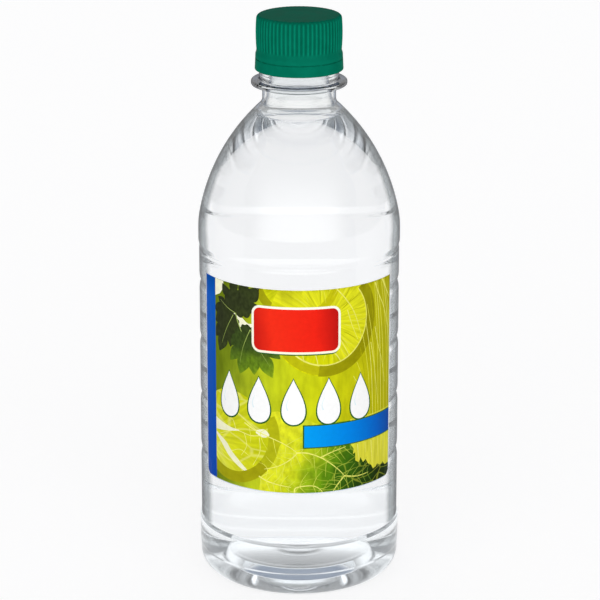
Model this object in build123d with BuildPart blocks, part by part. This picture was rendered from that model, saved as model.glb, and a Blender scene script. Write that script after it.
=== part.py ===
"""A clear half-litre vinegar bottle: a blow-moulded body with ring grooves, a
ribbed screw cap with its tamper band, a front label and the vinegar inside.

Millimetres, +Z up. The origin is the centre of the foot ring's plane, and the
front of the bottle, with its label, faces -Y.
"""

import os
from math import cos, hypot, pi, radians, sin, sqrt, tan

from build123d import *

os.makedirs("parts", exist_ok=True)

# ---------------------------------------------------------------- sizes
# body
WALL = 0.40             # blown wall
BODY_R = 33.80          # label panel
BASE_R = 34.28          # band under the panel
HEEL_R = 34.05          # just under that band
BEAD_R = 34.03          # bead above the panel
FOOT_R = 26.0           # outer edge of the flat foot ring
FOOT_WIDTH = 1.5
HEEL_H = 6.8            # height of the heel's quarter ellipse
BAND_LOW, BAND_HIGH = 10.2, 19.4
PANEL_LOW, PANEL_HIGH = 20.6, 115.4
GROOVE_Z0, GROOVE_PITCH, GROOVES = 43.9, 20.1, 4
GROOVE_DEPTH = 0.60     # a V between two convex flanks
GROOVE_HALF = 2.9
WAIST_Z, WAIST_R = 116.5, 33.60
BEAD_LOW, BEAD_HIGH = 118.4, 124.9
SHOULDER_ARC_R = 68.0   # the shoulder's long arc
SHOULDER_TOP = (13.20, 164.96)
# push-up under the base
PUSH_TOP = 8.8
PUSH_WALL = 0.9         # the base is thicker than the wall
STEP_R, STEP_LOW, STEP_HIGH, STEP_RUN = 17.6, 3.1, 6.9, 1.4     # the steep step round the dome
GATE_R, GATE_RISE = 5.6, 0.3    # a raised disc round the moulding gate
# neck finish
NECK_R = 12.27
NECK_START = 167.1
RING_R, RING_Z, RING_T = 16.03, 172.4, 1.7    # support ring
COLLAR_R = 13.30        # between support ring and tamper bead
BEAD_NECK_R, BEAD_NECK_Z = 13.80, 178.9       # bead that holds the tamper band
FINISH_R = 12.15        # thread root
NECK_TOP = 193.3
BORE_R = 10.85
BORE_LOW = 168.6        # the bore opens out below this
THREAD_PITCH, THREAD_TURNS, THREAD_R = 2.7, 1.6, 13.30
THREAD_Z = 184.6
# cap
CAP_LOW, CAP_TOP = 176.8, 195.0
CAP_LOW_R, SLIT_R, CAP_WAIST_R, CAP_BELLY_R, CAP_HIGH_R = 14.73, 14.52, 14.14, 14.36, 14.20
SLIT_Z, SLIT_H = 180.5, 0.20
CAP_WAIST_Z, CAP_BELLY_Z, CAP_HIGH_Z = 183.4, 187.6, 193.6
CAP_EDGE = 1.2          # rounding of the cap's top edge
SKIRT_BORE_R, BAND_BORE_R, BAND_LIP_R = 13.40, 13.95, 13.50
CAP_CEILING = NECK_TOP
PLUG_R, PLUG_T, PLUG_H = 10.80, 0.9, 2.2
RIBS, RIB_GAP, RIB_ROOT_R = 60, 0.92, 14.08
BRIDGES, BRIDGE_WIDTH = 12, 0.9
# contents and label
LEVEL = 162.4
LABEL_T = 0.10
LABEL_LOW, LABEL_HIGH = 38.8, 110.2
LABEL_LEFT, LABEL_RIGHT = 66.4, 63.6          # degrees each side of the front
LABEL_CORNER_LOW, LABEL_CORNER_HIGH = 3.5, 0.8


def arc_mid(a, b, radius):
    """A point half way along the outward arc of that radius from a up to b."""
    dx, dz = b[0] - a[0], b[1] - a[1]
    length = hypot(dx, dz)
    sag = radius - sqrt(radius**2 - length**2 / 4)
    return ((a[0] + b[0]) / 2 + sag * dz / length, (a[1] + b[1]) / 2 - sag * dx / length)


def groove(z, r):
    """One ring groove's line: two convex flanks that meet in a V. Needs an open BuildLine."""
    bow = GROOVE_HALF / 2, GROOVE_DEPTH * 0.27
    ThreePointArc((r, z - GROOVE_HALF), (r - bow[1], z - bow[0]), (r - GROOVE_DEPTH, z))
    ThreePointArc((r - GROOVE_DEPTH, z), (r - bow[1], z + bow[0]), (r, z + GROOVE_HALF))


def dome_z(r):
    """The height of the push-up's dome at radius r."""
    rise = PUSH_TOP - STEP_HIGH
    radius = (STEP_R**2 + rise**2) / (2 * rise)
    return PUSH_TOP - radius + sqrt(radius**2 - r**2)


def push_up(lift, edge, foot):
    """The push-up's line from the axis to the foot: gate disc, dome, step and skirt. Needs an open BuildLine."""
    disc, brim = GATE_R - 0.45, GATE_R + 0.45
    ThreePointArc(
        (0, PUSH_TOP + GATE_RISE + lift), (disc / 2, dome_z(disc / 2) + GATE_RISE + lift),
        (disc, dome_z(disc) + GATE_RISE + lift),
    )
    Line((disc, dome_z(disc) + GATE_RISE + lift), (brim, dome_z(brim) + lift))
    middle = (brim + STEP_R) / 2
    ThreePointArc((brim, dome_z(brim) + lift), (middle, dome_z(middle) + lift), (STEP_R, STEP_HIGH + lift))
    Polyline((STEP_R, STEP_HIGH + lift), (STEP_R + STEP_RUN, STEP_LOW + lift), (edge, foot))


def body_side(inset):
    """The side of the body from the top of the heel to the top of the shoulder, moved in by inset."""
    Polyline(
        (HEEL_R - inset, HEEL_H), (HEEL_R - inset, BAND_LOW - 0.7), (BASE_R - inset, BAND_LOW),
        (BASE_R - inset, BAND_HIGH), (BODY_R - inset, PANEL_LOW), (BODY_R - inset, GROOVE_Z0 - GROOVE_HALF),
    )
    for i in range(GROOVES):
        z = GROOVE_Z0 + i * GROOVE_PITCH
        groove(z, BODY_R - inset)
        after = z + GROOVE_PITCH - GROOVE_HALF if i < GROOVES - 1 else PANEL_HIGH
        Line((BODY_R - inset, z + GROOVE_HALF), (BODY_R - inset, after))
    Polyline(
        (BODY_R - inset, PANEL_HIGH), (WAIST_R - inset, WAIST_Z),
        (BEAD_R - inset, BEAD_LOW), (BEAD_R - inset, BEAD_HIGH),
    )


# ---------------------------------------------------------------- bottle
shoulder_start = (BEAD_R, BEAD_HIGH)
inner_start = (BEAD_R - WALL, BEAD_HIGH)
inner_end = (BORE_R + 1.55, SHOULDER_TOP[1] - 0.15)

with BuildPart() as bottle:
    with BuildSketch(Plane.XZ):
        with BuildLine():
            # underside: centre, push-up, foot ring, heel
            push_up(0, FOOT_R - FOOT_WIDTH, 0)
            Line((FOOT_R - FOOT_WIDTH, 0), (FOOT_R, 0))
            EllipticalCenterArc((FOOT_R, HEEL_H), HEEL_R - FOOT_R, HEEL_H, start_angle=-90, arc_size=90)
            body_side(0)
            ThreePointArc(shoulder_start, arc_mid(shoulder_start, SHOULDER_TOP, SHOULDER_ARC_R), SHOULDER_TOP)
            TangentArc((NECK_R, NECK_START), SHOULDER_TOP, tangent=(0, -1))
            # neck, support ring, collar, tamper bead, finish
            Polyline(
                (NECK_R, NECK_START), (NECK_R, RING_Z - RING_T / 2 - 0.9), (NECK_R + 1.3, RING_Z - RING_T / 2),
                (RING_R - 0.7, RING_Z - RING_T / 2),
            )
            ThreePointArc(
                (RING_R - 0.7, RING_Z - RING_T / 2), (RING_R, RING_Z), (RING_R - 0.7, RING_Z + RING_T / 2)
            )
            Polyline(
                (RING_R - 0.7, RING_Z + RING_T / 2), (COLLAR_R, RING_Z + RING_T / 2),
                (COLLAR_R, BEAD_NECK_Z - 0.5), (BEAD_NECK_R, BEAD_NECK_Z), (BEAD_NECK_R, BEAD_NECK_Z + 0.5),
                (FINISH_R, BEAD_NECK_Z + 1.6), (FINISH_R, NECK_TOP - 0.4), (FINISH_R - 0.4, NECK_TOP),
                (0, NECK_TOP), (0, PUSH_TOP + GATE_RISE),
            )
        make_face()
    revolve(axis=Axis.Z)
    # the thread on the finish
    with BuildPart(mode=Mode.PRIVATE) as neck_thread:
        with BuildLine():
            turns = Helix(THREAD_PITCH, THREAD_PITCH * THREAD_TURNS, FINISH_R, center=(0, 0, THREAD_Z))
        with BuildSketch(Plane(origin=turns @ 0, x_dir=(1, 0, 0), z_dir=turns % 0)):
            with BuildLine():
                Polyline(
                    (-0.15, -0.80), (THREAD_R - FINISH_R, -0.32), (THREAD_R - FINISH_R, 0.32), (-0.15, 0.80),
                    close=True,
                )
            make_face()
        sweep(path=turns, is_frenet=True)
    add(neck_thread.part)
    # the hollow
    with BuildSketch(Plane.XZ):
        with BuildLine():
            push_up(PUSH_WALL, FOOT_R - FOOT_WIDTH - 0.1, 0.75)
            Line((FOOT_R - FOOT_WIDTH - 0.1, 0.75), (FOOT_R - 0.4, 0.75))
            EllipticalCenterArc(
                (FOOT_R - 0.4, HEEL_H), HEEL_R - WALL - FOOT_R + 0.4, HEEL_H - 0.75, start_angle=-90, arc_size=90
            )
            body_side(WALL)
            ThreePointArc(inner_start, arc_mid(inner_start, inner_end, SHOULDER_ARC_R), inner_end)
            TangentArc((BORE_R, BORE_LOW), inner_end, tangent=(0, -1))
            Polyline((BORE_R, BORE_LOW), (BORE_R, NECK_TOP), (0, NECK_TOP), (0, PUSH_TOP + PUSH_WALL + GATE_RISE))
        hollow_face = make_face()
    revolve(axis=Axis.Z, mode=Mode.SUBTRACT)
bottle.part.label = "bottle"

# ---------------------------------------------------------------- vinegar
with BuildPart() as vinegar:
    with BuildSketch(Plane.XZ):
        add(hollow_face)
        with Locations((0, LEVEL + 50)):
            Rectangle(80, 100, mode=Mode.SUBTRACT)
    revolve(axis=Axis.Z)
vinegar.part.label = "vinegar"

# ---------------------------------------------------------------- cap
with BuildPart() as cap:
    with BuildSketch(Plane.XZ):
        with BuildLine():
            Polyline((BAND_BORE_R, CAP_LOW), (CAP_LOW_R, CAP_LOW), (SLIT_R, SLIT_Z + SLIT_H + 1.3))
            Line((SLIT_R, SLIT_Z + SLIT_H + 1.3), (CAP_WAIST_R, CAP_WAIST_Z))
            ThreePointArc(
                (CAP_WAIST_R, CAP_WAIST_Z), (CAP_BELLY_R, CAP_BELLY_Z), (CAP_HIGH_R, CAP_HIGH_Z)
            )
            Polyline(
                (CAP_HIGH_R, CAP_HIGH_Z), (CAP_HIGH_R - 0.02, CAP_TOP - CAP_EDGE),
            )
            ThreePointArc(
                (CAP_HIGH_R - 0.02, CAP_TOP - CAP_EDGE),
                (CAP_HIGH_R - 0.02 - CAP_EDGE * (1 - sin(pi / 4)), CAP_TOP - CAP_EDGE * (1 - sin(pi / 4))),
                (CAP_HIGH_R - 0.02 - CAP_EDGE, CAP_TOP),
            )
            Polyline(
                (CAP_HIGH_R - 0.02 - CAP_EDGE, CAP_TOP), (0, CAP_TOP), (0, CAP_CEILING),
                (PLUG_R - PLUG_T, CAP_CEILING), (PLUG_R - PLUG_T, CAP_CEILING - PLUG_H),
                (PLUG_R - 0.25, CAP_CEILING - PLUG_H), (PLUG_R, CAP_CEILING - PLUG_H + 0.5),
                (PLUG_R, CAP_CEILING), (SKIRT_BORE_R, CAP_CEILING), (SKIRT_BORE_R, SLIT_Z + SLIT_H),
                (BAND_BORE_R, SLIT_Z + SLIT_H), (BAND_BORE_R, BEAD_NECK_Z - 0.7),
                (BAND_LIP_R, BEAD_NECK_Z - 0.9), (BAND_LIP_R, BEAD_NECK_Z - 1.3), (BAND_BORE_R, CAP_LOW + 0.5),
                (BAND_BORE_R, CAP_LOW),
            )
        make_face()
    revolve(axis=Axis.Z)
    # the thread inside the skirt, half a pitch under the neck's thread
    with BuildPart(mode=Mode.PRIVATE) as cap_thread:
        with BuildLine():
            grip = Helix(
                THREAD_PITCH, THREAD_PITCH * THREAD_TURNS, SKIRT_BORE_R, center=(0, 0, THREAD_Z - THREAD_PITCH / 2)
            )
        with BuildSketch(Plane(origin=grip @ 0, x_dir=(1, 0, 0), z_dir=grip % 0)):
            with BuildLine():
                Polyline((0.15, -0.50), (-1.10, -0.22), (-1.10, 0.22), (0.15, 0.50), close=True)
            make_face()
        sweep(path=grip, is_frenet=True)
    add(cap_thread.part)
    # finger ribs: straight gaps cut between them
    with BuildSketch(Plane.XY.offset(CAP_WAIST_Z + 0.6)):
        with PolarLocations(RIB_ROOT_R + 1.0, RIBS):
            Rectangle(2.0, RIB_GAP)
    extrude(amount=CAP_TOP - CAP_EDGE * 0.75 - CAP_WAIST_Z - 0.6, mode=Mode.SUBTRACT)
    # the slit over the tamper band, crossed by thin bridges
    with BuildSketch(Plane.XY.offset(SLIT_Z)):
        Circle(CAP_LOW_R + 1)
        Circle(SKIRT_BORE_R - 0.3, mode=Mode.SUBTRACT)
        with PolarLocations((SLIT_R + SKIRT_BORE_R) / 2, BRIDGES):
            Rectangle(3, BRIDGE_WIDTH, mode=Mode.SUBTRACT)
    extrude(amount=SLIT_H, mode=Mode.SUBTRACT)
cap.part.label = "cap"

# ---------------------------------------------------------------- label
label_x0 = -(BODY_R + LABEL_T) * sin(radians(LABEL_LEFT))
label_x1 = (BODY_R + LABEL_T) * sin(radians(LABEL_RIGHT))
with BuildPart() as front_label:
    with BuildSketch(Plane.XY.offset(LABEL_LOW)):
        Circle(BODY_R + LABEL_T)
        Circle(BODY_R, mode=Mode.SUBTRACT)
    extrude(amount=LABEL_HIGH - LABEL_LOW)
    # its outline seen from the front, where the edge turns away, so each corner is narrower than it is high
    with BuildSketch(Plane.XZ):
        with BuildLine():
            low_l, low_r = LABEL_CORNER_LOW * cos(radians(LABEL_LEFT)), LABEL_CORNER_LOW * cos(radians(LABEL_RIGHT))
            top_l, top_r = LABEL_CORNER_HIGH * cos(radians(LABEL_LEFT)), LABEL_CORNER_HIGH * cos(radians(LABEL_RIGHT))
            lo, hi = LABEL_LOW + LABEL_CORNER_LOW, LABEL_HIGH - LABEL_CORNER_HIGH
            Line((label_x0 + low_l, LABEL_LOW), (label_x1 - low_r, LABEL_LOW))
            EllipticalCenterArc((label_x1 - low_r, lo), low_r, LABEL_CORNER_LOW, start_angle=-90, arc_size=90)
            Line((label_x1, lo), (label_x1, hi))
            EllipticalCenterArc((label_x1 - top_r, hi), top_r, LABEL_CORNER_HIGH, start_angle=0, arc_size=90)
            Line((label_x1 - top_r, LABEL_HIGH), (label_x0 + top_l, LABEL_HIGH))
            EllipticalCenterArc((label_x0 + top_l, hi), top_l, LABEL_CORNER_HIGH, start_angle=90, arc_size=90)
            Line((label_x0, hi), (label_x0, lo))
            EllipticalCenterArc((label_x0 + low_l, lo), low_l, LABEL_CORNER_LOW, start_angle=180, arc_size=90)
        make_face()
    extrude(amount=BODY_R + 5, mode=Mode.INTERSECT)
front_label.part.label = "front_label"

for piece in (bottle, vinegar, cap, front_label):
    name = piece.part.label
    export_step(piece.part, f"parts/{name}.step")
    box = piece.part.bounding_box()
    print(name, "solids", len(piece.part.solids()), "volume", round(piece.part.volume, 1), "box", box.min, box.max)
print("vinegar in the bottle:", round(vinegar.part.volume / 1000, 1), "ml")
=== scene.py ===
"""The looks of a clear vinegar bottle: blown plastic shell, clear vinegar, ribbed cap and printed label.

Lengths below are in millimetres and are turned into metres where a mesh is made.
"""

import math
import random

import bpy
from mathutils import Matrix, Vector
from mathutils.geometry import delaunay_2d_cdt


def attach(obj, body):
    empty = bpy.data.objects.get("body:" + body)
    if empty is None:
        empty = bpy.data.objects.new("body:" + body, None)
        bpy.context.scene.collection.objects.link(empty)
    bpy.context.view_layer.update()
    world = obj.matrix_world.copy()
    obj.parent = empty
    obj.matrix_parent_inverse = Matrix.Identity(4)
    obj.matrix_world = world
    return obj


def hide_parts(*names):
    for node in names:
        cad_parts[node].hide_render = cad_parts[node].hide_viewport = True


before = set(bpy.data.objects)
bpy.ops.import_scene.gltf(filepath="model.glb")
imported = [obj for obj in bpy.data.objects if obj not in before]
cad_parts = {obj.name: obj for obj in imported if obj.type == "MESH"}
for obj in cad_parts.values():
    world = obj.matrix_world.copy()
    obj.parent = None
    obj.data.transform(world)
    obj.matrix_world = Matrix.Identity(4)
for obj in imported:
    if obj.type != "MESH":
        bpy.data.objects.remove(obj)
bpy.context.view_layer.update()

MM = 0.001

# ---------------------------------------------------------------- sizes, as in the CAD model
WALL = 0.40
BODY_R, BASE_R, HEEL_R, BEAD_R = 33.80, 34.28, 34.05, 34.03
FOOT_R, FOOT_WIDTH, HEEL_H = 26.0, 1.5, 6.8
BAND_LOW, BAND_HIGH = 10.2, 19.4
PANEL_LOW, PANEL_HIGH = 20.6, 115.4
GROOVE_Z0, GROOVE_PITCH, GROOVES = 43.9, 20.1, 4
GROOVE_DEPTH, GROOVE_HALF = 0.60, 2.9
WAIST_Z, WAIST_R = 116.5, 33.60
BEAD_LOW, BEAD_HIGH = 118.4, 124.9
SHOULDER_ARC_R, EASE = 68.0, 2.4
SHOULDER_TOP = (13.20, 164.96)
PUSH_TOP, PUSH_WALL = 8.8, 0.9
GATE_R, GATE_RISE = 5.6, 0.3
PUSH_STEP, PUSH_RUN = (17.6, 3.1, 6.9), 1.4
NECK_R, NECK_START = 12.27, 167.1
RING_R, RING_Z, RING_T = 16.03, 172.4, 1.7
COLLAR_R = 13.30
BEAD_NECK_R, BEAD_NECK_Z = 13.80, 178.9
FINISH_R, NECK_TOP = 12.15, 193.3
BORE_R, BORE_LOW = 10.85, 168.6
THREAD_PITCH, THREAD_TURNS, THREAD_R, THREAD_Z = 2.7, 1.6, 13.30, 184.6
CAP_LOW, CAP_TOP = 176.8, 195.0
CAP_LOW_R, SLIT_R, CAP_WAIST_R, CAP_BELLY_R, CAP_HIGH_R = 14.73, 14.52, 14.14, 14.36, 14.20
SLIT_Z, SLIT_H = 180.5, 0.20
CAP_WAIST_Z, CAP_BELLY_Z, CAP_HIGH_Z = 183.4, 187.6, 193.6
CAP_EDGE = 1.2
SKIRT_BORE_R, BAND_BORE_R, BAND_LIP_R = 13.40, 13.95, 13.50
PLUG_R, PLUG_T, PLUG_H = 10.80, 0.9, 2.2
RIBS, RIB_DEPTH = 60, 0.28
BRIDGES, BRIDGE_WIDTH = 12, 0.9
LEVEL = 162.4
LABEL_T, LABEL_LOW, LABEL_HIGH = 0.10, 38.8, 110.2
LABEL_LEFT, LABEL_RIGHT = 66.4, 63.6

SEGMENTS = 144


# ---------------------------------------------------------------- profiles
def three_point(a, m, b, n):
    """n + 1 points on the arc from a through m to b."""
    (ax, ay), (bx, by), (cx, cy) = a, m, b
    d = 2 * (ax * (by - cy) + bx * (cy - ay) + cx * (ay - by))
    ux = ((ax * ax + ay * ay) * (by - cy) + (bx * bx + by * by) * (cy - ay) + (cx * cx + cy * cy) * (ay - by)) / d
    uy = ((ax * ax + ay * ay) * (cx - bx) + (bx * bx + by * by) * (ax - cx) + (cx * cx + cy * cy) * (bx - ax)) / d
    r = math.hypot(ax - ux, ay - uy)
    t0, tm, t1 = (math.atan2(y - uy, x - ux) for x, y in (a, m, b))
    sweep = (t1 - t0) % (2 * math.pi)
    if (tm - t0) % (2 * math.pi) > sweep:
        sweep -= 2 * math.pi
    return [(ux + r * math.cos(t0 + sweep * i / n), uy + r * math.sin(t0 + sweep * i / n)) for i in range(n + 1)]


def outward_arc(a, b, radius, n):
    """n + 1 points on the arc of that radius that bulges away from the axis on the way up from a to b."""
    dx, dz = b[0] - a[0], b[1] - a[1]
    length = math.hypot(dx, dz)
    sag = radius - math.sqrt(radius**2 - length**2 / 4)
    mid = ((a[0] + b[0]) / 2 + sag * dz / length, (a[1] + b[1]) / 2 - sag * dx / length)
    return three_point(a, mid, b, n)


def quarter_ellipse(cx, cz, a, b, n, start=-90):
    """n + 1 points on a quarter of an ellipse, counter-clockwise from start degrees."""
    turn = [math.radians(start + 90 * i / n) for i in range(n + 1)]
    return [(cx + a * math.cos(t), cz + b * math.sin(t)) for t in turn]


def rounded(corners, n=5):
    """A line through (r, z, radius) corners, each rounded with an arc of its radius."""
    out = [corners[0][:2]]
    for p, c, q in zip(corners, corners[1:], corners[2:]):
        v1, v2 = (p[0] - c[0], p[1] - c[1]), (q[0] - c[0], q[1] - c[1])
        l1, l2 = math.hypot(*v1), math.hypot(*v2)
        v1, v2 = (v1[0] / l1, v1[1] / l1), (v2[0] / l2, v2[1] / l2)
        bend = math.acos(max(-1, min(1, v1[0] * v2[0] + v1[1] * v2[1])))
        if c[2] <= 0 or bend > math.pi - 1e-3:
            out.append(c[:2])
            continue
        back = min(c[2] / math.tan(bend / 2), 0.48 * l1, 0.48 * l2)
        s = (c[0] + v1[0] * back, c[1] + v1[1] * back)
        e = (c[0] + v2[0] * back, c[1] + v2[1] * back)
        radius = back * math.tan(bend / 2)
        reach = radius / math.sin(bend / 2)
        bis = (v1[0] + v2[0], v1[1] + v2[1])
        lb = math.hypot(*bis)
        centre = (c[0] + bis[0] / lb * reach, c[1] + bis[1] / lb * reach)
        mid = (centre[0] - bis[0] / lb * radius, centre[1] - bis[1] / lb * radius)
        out += three_point(s, mid, e, n)
    out.append(corners[-1][:2])
    return out


def body_side(inset):
    """The side of the body from the top of the heel to the shoulder, moved in by inset, with softened creases."""
    corners = [
        (HEEL_R, HEEL_H, 0), (HEEL_R, BAND_LOW - 0.7, 1.2), (BASE_R, BAND_LOW, 1.2),
        (BASE_R, BAND_HIGH, 1.0), (BODY_R, PANEL_LOW, 1.2),
    ]
    for i in range(GROOVES):
        z = GROOVE_Z0 + i * GROOVE_PITCH
        bow, depth, half = GROOVE_DEPTH * 0.27, GROOVE_DEPTH, GROOVE_HALF
        corners.append((BODY_R, z - half, 2.0))
        corners.append((BODY_R - bow * 0.55, z - half * 0.62, 3.0))
        corners.append((BODY_R - depth, z, 0.45))
        corners.append((BODY_R - bow * 0.55, z + half * 0.62, 3.0))
        corners.append((BODY_R, z + half, 2.0))
    corners += [
        (BODY_R, PANEL_HIGH, 1.5), (WAIST_R, WAIST_Z, 1.5), (BEAD_R, BEAD_LOW, 3.0), (BEAD_R, BEAD_HIGH, 0),
    ]
    return rounded([(r - inset, z, rad) for r, z, rad in corners])


def push_up(lift, edge, foot):
    """The push-up from the axis out to the foot ring's inner edge: a shallow dome, a step and a sloping skirt."""
    step_r, step_low, step_high = PUSH_STEP
    dome = three_point((-step_r, step_high + lift), (0, PUSH_TOP + lift), (step_r, step_high + lift), 48)[24:]
    # a small raised disc round the moulding gate
    dome = [(r, z + GATE_RISE * min(1, max(0, (GATE_R - r) / 0.9 + 0.5))) for r, z in dome]
    dome[0] = (0.0, PUSH_TOP + GATE_RISE + lift)
    tail = rounded([
        dome[-2] + (0,), (step_r, step_high + lift, 0.8), (step_r + PUSH_RUN, step_low + lift, 1.0),
        (edge, foot, 1.6), (edge + 0.9, foot, 0),
    ], 6)
    return dome[:-1] + tail[1:]


def shoulder(inset, end, n):
    """The shoulder's arc up to end, eased in from the upright bead below it."""
    start = (BEAD_R - inset, BEAD_HIGH)
    arc = [p for p in outward_arc(start, end, SHOULDER_ARC_R, n) if p[1] > BEAD_HIGH + EASE]
    a, c = (start[0], BEAD_HIGH - EASE), arc[0]
    ease = []
    for i in range(11):
        t = i / 10
        ease.append(tuple((1 - t) ** 2 * a[k] + 2 * t * (1 - t) * start[k] + t * t * c[k] for k in (0, 1)))
    return ease + arc[1:]


def inner_line():
    """The inside of the wall from the middle of the base to the neck's mouth."""
    out = push_up(PUSH_WALL, FOOT_R - FOOT_WIDTH - 0.1, 0.75)
    out += quarter_ellipse(FOOT_R - 0.4, HEEL_H, HEEL_R - WALL - FOOT_R + 0.4, HEEL_H - 0.75, 14)
    out += body_side(WALL)[1:-1]
    end = (BORE_R + 1.55, SHOULDER_TOP[1] - 0.15)
    out += shoulder(WALL, end, 56)
    out += neck_flow(end, (BORE_R, BORE_LOW), 12)[1:]
    out.append((BORE_R, NECK_TOP))
    return out


def neck_flow(a, b, n):
    """From the shoulder's end a into the neck's straight wall at b: an arc that meets the wall along it."""
    # the circle through a that touches the vertical line r = b[0] at b
    dx, dz = a[0] - b[0], a[1] - b[1]
    radius = (dx * dx + dz * dz) / (2 * dx)
    centre = (b[0] + radius, b[1])
    t0 = math.atan2(a[1] - centre[1], a[0] - centre[0]) % (2 * math.pi)
    return [
        (centre[0] + radius * math.cos(t0 + (math.pi - t0) * i / n), centre[1] + radius * math.sin(t0 + (math.pi - t0) * i / n))
        for i in range(n + 1)
    ]


def outer_line():
    """The outside of the bottle from the middle of the base to the neck's mouth."""
    out = push_up(0.0, FOOT_R - FOOT_WIDTH, 0.0)
    out += quarter_ellipse(FOOT_R, HEEL_H, HEEL_R - FOOT_R, HEEL_H, 18)
    out += body_side(0)[1:-1]
    out += shoulder(0, SHOULDER_TOP, 56)
    out += neck_flow(SHOULDER_TOP, (NECK_R, NECK_START), 12)[1:]
    under, over = RING_Z - RING_T / 2, RING_Z + RING_T / 2
    out += rounded([
        (NECK_R, NECK_START, 0), (NECK_R, under - 0.9, 0.8), (NECK_R + 1.3, under, 0.9), (RING_R, under, 0.62),
        (RING_R, over, 0.62), (COLLAR_R, over, 0.5), (COLLAR_R, BEAD_NECK_Z - 0.5, 0.3),
        (BEAD_NECK_R, BEAD_NECK_Z, 0.3), (BEAD_NECK_R, BEAD_NECK_Z + 0.5, 0.3), (FINISH_R, BEAD_NECK_Z + 1.6, 0.5),
        (FINISH_R, NECK_TOP, 0.4), (BORE_R, NECK_TOP, 0),
    ])[1:]
    return out


# ---------------------------------------------------------------- meshes
def new_object(name, verts, faces, smooth=True):
    """A mesh object from points in millimetres."""
    mesh = bpy.data.meshes.new(name)
    mesh.from_pydata([tuple(float(x) * MM for x in v) for v in verts], [], faces)
    mesh.polygons.foreach_set("use_smooth", [smooth] * len(mesh.polygons))
    mesh.update()
    obj = bpy.data.objects.new(name, mesh)
    bpy.context.scene.collection.objects.link(obj)
    return obj


def revolve(name, line, segments=SEGMENTS, wave=None):
    """A line of (r, z) points turned round the axis. A point on the axis closes that end.
    wave(r, z, turn) may change the radius."""
    verts, faces, rows = [], [], []
    for r, z in line:
        if r < 1e-6:
            rows.append([len(verts)])
            verts.append((0, 0, z))
            continue
        row = []
        for i in range(segments):
            t = 2 * math.pi * i / segments
            rr = wave(r, z, t) if wave else r
            row.append(len(verts))
            verts.append((rr * math.cos(t), rr * math.sin(t), z))
        rows.append(row)
    for low, high in zip(rows, rows[1:]):
        for i in range(segments):
            j = (i + 1) % segments
            if len(low) == 1:
                faces.append((low[0], high[j], high[i]))
            elif len(high) == 1:
                faces.append((low[i], low[j], high[0]))
            else:
                faces.append((low[i], low[j], high[j], high[i]))
    return new_object(name, verts, faces)


# ---------------------------------------------------------------- materials
def material(name, **sockets):
    """A Principled material with these socket values, its node and its tree."""
    mat = bpy.data.materials.new(name)
    mat.use_nodes = True
    node = mat.node_tree.nodes["Principled BSDF"]
    for key, value in sockets.items():
        node.inputs[key.replace("_", " ")].default_value = value
    return mat, node, mat.node_tree


def clear_with_painted_edge_shade(name, ior, light, dark, start, end, rim, rim_start, rim_end, rim_most, half=None):
    """Clear plastic with painted shade where it is seen along its surface, and a painted dark line at its very rim.
    half is its colour where the painted darkening starts, if it is already a little darker there."""
    mat, node, tree = material(name, Roughness=0.0, IOR=ior, Transmission_Weight=1.0)
    weight = tree.nodes.new("ShaderNodeLayerWeight")
    weight.inputs["Blend"].default_value = 0.5
    # painted shade: the colour goes from light to dark as the surface is seen more edge-on
    ramp = tree.nodes.new("ShaderNodeValToRGB")
    ramp.color_ramp.interpolation = "EASE"
    ramp.color_ramp.elements[0].position = start
    ramp.color_ramp.elements[0].color = light
    ramp.color_ramp.elements[1].position = end
    ramp.color_ramp.elements[1].color = dark
    if half:
        ramp.color_ramp.elements[0].color = half
        ramp.color_ramp.elements.new(start - 0.26).color = light
    tree.links.new(weight.outputs["Facing"], ramp.inputs["Fac"])
    tree.links.new(ramp.outputs["Color"], node.inputs["Base Color"])
    # blown plastic is never quite even: a faint broad waviness
    where = tree.nodes.new("ShaderNodeTexCoord")
    wave = tree.nodes.new("ShaderNodeTexNoise")
    wave.inputs["Scale"].default_value = 55.0
    wave.inputs["Detail"].default_value = 1.0
    tree.links.new(where.outputs["Object"], wave.inputs["Vector"])
    bump = tree.nodes.new("ShaderNodeBump")
    bump.inputs["Strength"].default_value = 0.10
    bump.inputs["Distance"].default_value = 0.0004
    tree.links.new(wave.outputs["Fac"], bump.inputs["Height"])
    tree.links.new(bump.outputs["Normal"], node.inputs["Normal"])
    # painted shade: a dark diffuse shader mixed in at the very rim as a dark line
    edge = tree.nodes.new("ShaderNodeBsdfDiffuse")
    edge.inputs["Color"].default_value = rim
    much = tree.nodes.new("ShaderNodeMapRange")
    much.interpolation_type = "SMOOTHSTEP"
    much.inputs["From Min"].default_value = rim_start
    much.inputs["From Max"].default_value = rim_end
    much.inputs["To Min"].default_value = 0.0
    much.inputs["To Max"].default_value = rim_most
    tree.links.new(weight.outputs["Facing"], much.inputs["Value"])
    mix = tree.nodes.new("ShaderNodeMixShader")
    tree.links.new(much.outputs["Result"], mix.inputs["Fac"])
    tree.links.new(node.outputs["BSDF"], mix.inputs[1])
    tree.links.new(edge.outputs["BSDF"], mix.inputs[2])
    tree.links.new(mix.outputs["Shader"], tree.nodes["Material Output"].inputs["Surface"])
    return mat


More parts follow.
